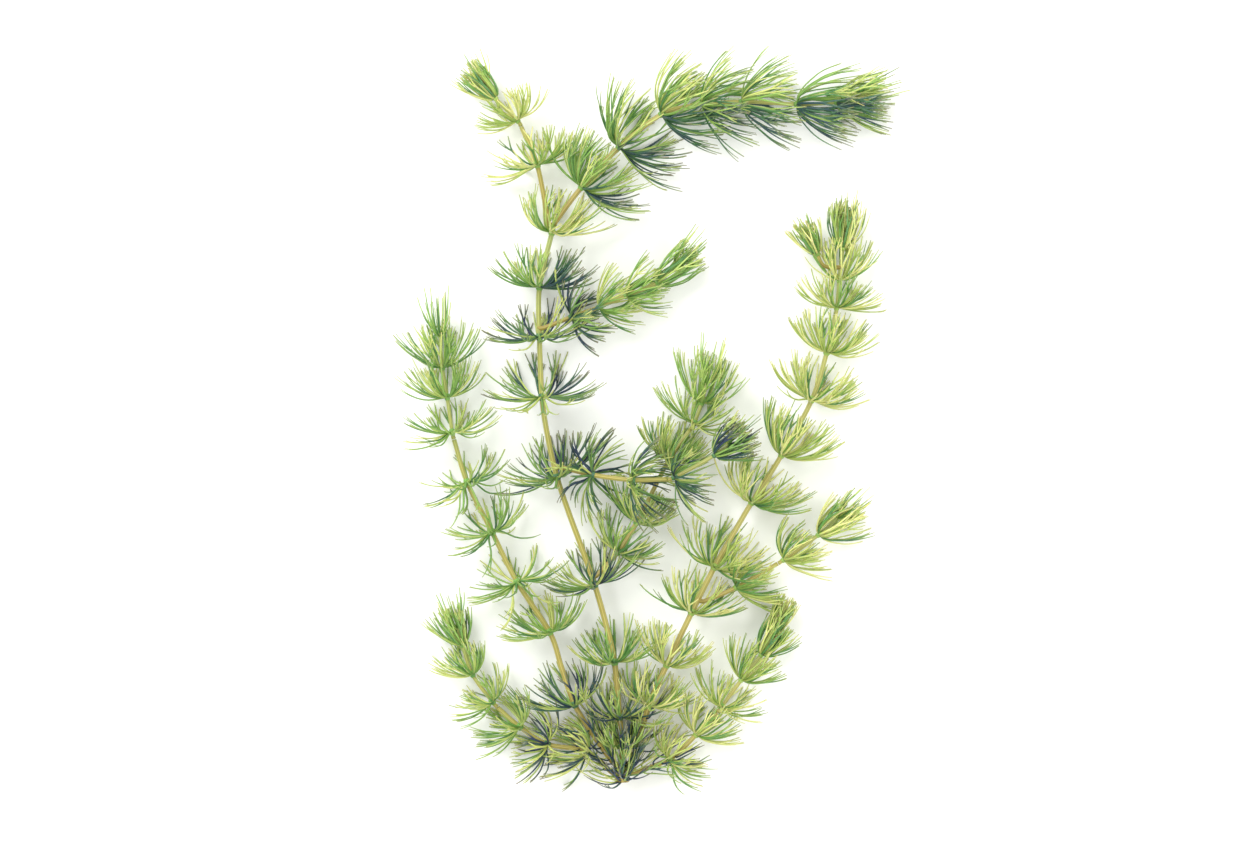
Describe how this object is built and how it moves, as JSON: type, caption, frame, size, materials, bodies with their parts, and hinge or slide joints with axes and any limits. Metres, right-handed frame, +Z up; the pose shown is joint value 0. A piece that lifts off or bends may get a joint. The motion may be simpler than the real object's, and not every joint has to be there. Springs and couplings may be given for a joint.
{
  "type": "hornwort plant",
  "caption": "Bushy water plant with forked leafy shoots that fan out from one cut base, its fine forked leaves in whorls, picked and laid down flat",
  "frame": {"origin": "centre of the plant's outline as it lies, on the surface that it rests on", "axes": "+Y from the cut base up the shoots, +X across to the right seen from above, +Z up from the surface"},
  "size_m": [0.2072, 0.2967, 0.0442],
  "materials": {
    "stems": "satin",
    "dark_leaves": "satin",
    "green_leaves": "satin",
    "pale_leaves": "satin"
  },
  "bodies": {
    "root": {"left_stem": "stems", "left_tip": "green_leaves", "left_whorl_1": "dark_leaves", "left_whorl_2": "green_leaves", "left_whorl_3": "green_leaves", "left_whorl_4": "green_leaves", "left_whorl_5": "green_leaves", "main_stem": "stems", "main_whorl_1": "dark_leaves", "main_whorl_2": "dark_leaves", "main_whorl_3": "green_leaves", "main_whorl_4": "dark_leaves", "main_whorl_5": "dark_leaves", "main_whorl_6": "dark_leaves", "main_whorl_7": "dark_leaves", "main_whorl_8": "green_leaves", "main_whorl_9": "pale_leaves", "middle_side_stem": "stems", "middle_side_tip": "dark_leaves", "middle_side_whorl_1": "dark_leaves", "middle_side_whorl_2": "dark_leaves", "right_side_stem": "stems", "right_side_tip": "pale_leaves", "right_side_whorl_1": "pale_leaves", "right_stem": "stems", "right_tip": "pale_leaves", "right_tuft_tip": "pale_leaves", "right_whorl_1": "pale_leaves", "right_whorl_2": "pale_leaves", "right_whorl_3": "pale_leaves", "right_whorl_4": "pale_leaves", "right_whorl_5": "pale_leaves", "right_whorl_6": "pale_leaves", "right_whorl_7": "pale_leaves", "right_whorl_8": "pale_leaves", "rising_side_stem": "stems", "rising_side_tip": "green_leaves", "rising_side_whorl_1": "green_leaves", "rising_side_whorl_2": "green_leaves", "rising_side_whorl_3": "green_leaves", "short_left_stem": "stems", "short_left_tip": "green_leaves", "short_left_whorl_1": "dark_leaves", "short_left_whorl_2": "dark_leaves", "short_left_whorl_3": "green_leaves", "short_right_stem": "stems", "short_right_tip": "pale_leaves", "short_right_whorl_1": "pale_leaves", "short_right_whorl_2": "pale_leaves", "top_left_stem": "stems", "top_left_tip": "pale_leaves", "top_left_whorl_1": "pale_leaves", "top_right_stem": "stems", "top_right_tip": "green_leaves", "top_right_whorl_1": "green_leaves", "top_right_whorl_2": "green_leaves", "top_right_whorl_3": "green_leaves", "upper_side_stem": "stems", "upper_side_tip": "green_leaves", "upper_side_whorl_1": "dark_leaves"}
  },
  "joints": []
}
